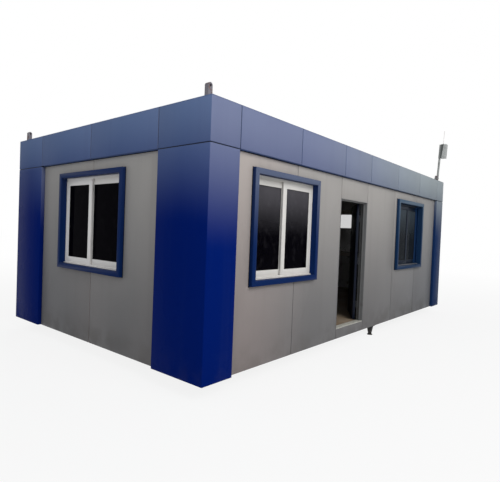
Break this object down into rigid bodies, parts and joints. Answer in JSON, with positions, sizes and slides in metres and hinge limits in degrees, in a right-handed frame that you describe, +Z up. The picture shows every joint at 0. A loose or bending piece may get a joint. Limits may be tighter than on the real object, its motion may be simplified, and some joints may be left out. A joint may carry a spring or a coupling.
{
  "type": "prefabricated site office",
  "caption": "Single-room prefabricated office cabin with grey panel walls, blue corner columns and fascia, sliding windows, an open hinged door and a ribbed roof behind a parapet.",
  "frame": {"origin": "on the ground under the middle of the cabin", "axes": "+X along the door wall, to the right as seen from outside; +Y from the door wall to the back wall; +Z up"},
  "size_m": [7.6125, 4.4399, 4.1959],
  "materials": {
    "panel_grey": "satin grey composite panel",
    "cladding_blue": "glossy deep blue composite panel",
    "surround_blue": "glossy blue folded sheet",
    "wall_lining": "satin grey steel facing",
    "roof_sheet": "weathered pale coated steel",
    "base_steel": "dark primer",
    "leg_black": "matt black",
    "deck_board": "worn sheet floor",
    "window_white": "white plastic profile",
    "window_dark": "dark satin aluminium profile",
    "tinted_glass": "dark tinted",
    "frame_grey": "satin grey",
    "door_dark": "satin dark blue grey",
    "hinge_steel": "brushed",
    "threshold_metal": "worn mill finish",
    "lifting_steel": "worn primer",
    "mast_metal": "galvanised, weathered",
    "aerial_grey": "matt grey casting"
  },
  "bodies": {
    "cabin": {"support_legs": "leg_black", "base_side_beams": "base_steel", "base_cross_members": "base_steel", "floor_deck": "deck_board", "front_wall_left": "wall_lining", "front_wall_right": "wall_lining", "front_wall_header": "wall_lining", "left_wall": "wall_lining", "right_wall": "wall_lining", "back_wall": "wall_lining", "front_panels_left": "panel_grey", "front_panels_right": "panel_grey", "door_surround_panels": "panel_grey", "left_panels": "panel_grey", "right_panels": "panel_grey", "back_panels": "panel_grey", "column_front_left": "cladding_blue", "column_front_right": "cladding_blue", "column_back_left": "cladding_blue", "column_back_right": "cladding_blue", "fascia_front": "cladding_blue", "fascia_back": "cladding_blue", "fascia_ends": "cladding_blue", "fascia_corners": "cladding_blue", "parapet_coping": "cladding_blue", "roof_panel": "roof_sheet", "lifting_posts": "lifting_steel", "aerial_mast": "mast_metal", "aerial_unit": "aerial_grey", "window_left_surround": "surround_blue", "window_left_slider": "window_white", "window_left_panes": "tinted_glass", "window_right_surround": "surround_blue", "window_right_slider": "window_dark", "window_right_panes": "tinted_glass", "window_end_left_surround": "surround_blue", "window_end_left_slider": "window_white", "window_end_left_panes": "tinted_glass", "window_end_right_surround": "surround_blue", "window_end_right_slider": "window_white", "window_end_right_panes": "tinted_glass", "door_frame": "frame_grey", "threshold": "threshold_metal", "hinge_pins": "hinge_steel"},
    "door": {"door_leaf": "door_dark", "door_handles": "hinge_steel", "hinge_knuckles": "hinge_steel"}
  },
  "joints": [
    {"name": "door_hinge", "type": "hinge", "parent": "cabin", "child": "door", "pos_m": [-0.146, -2.03, 1.3], "axis": [0, 0, 1], "range_deg": [-17, 148]}
  ]
}
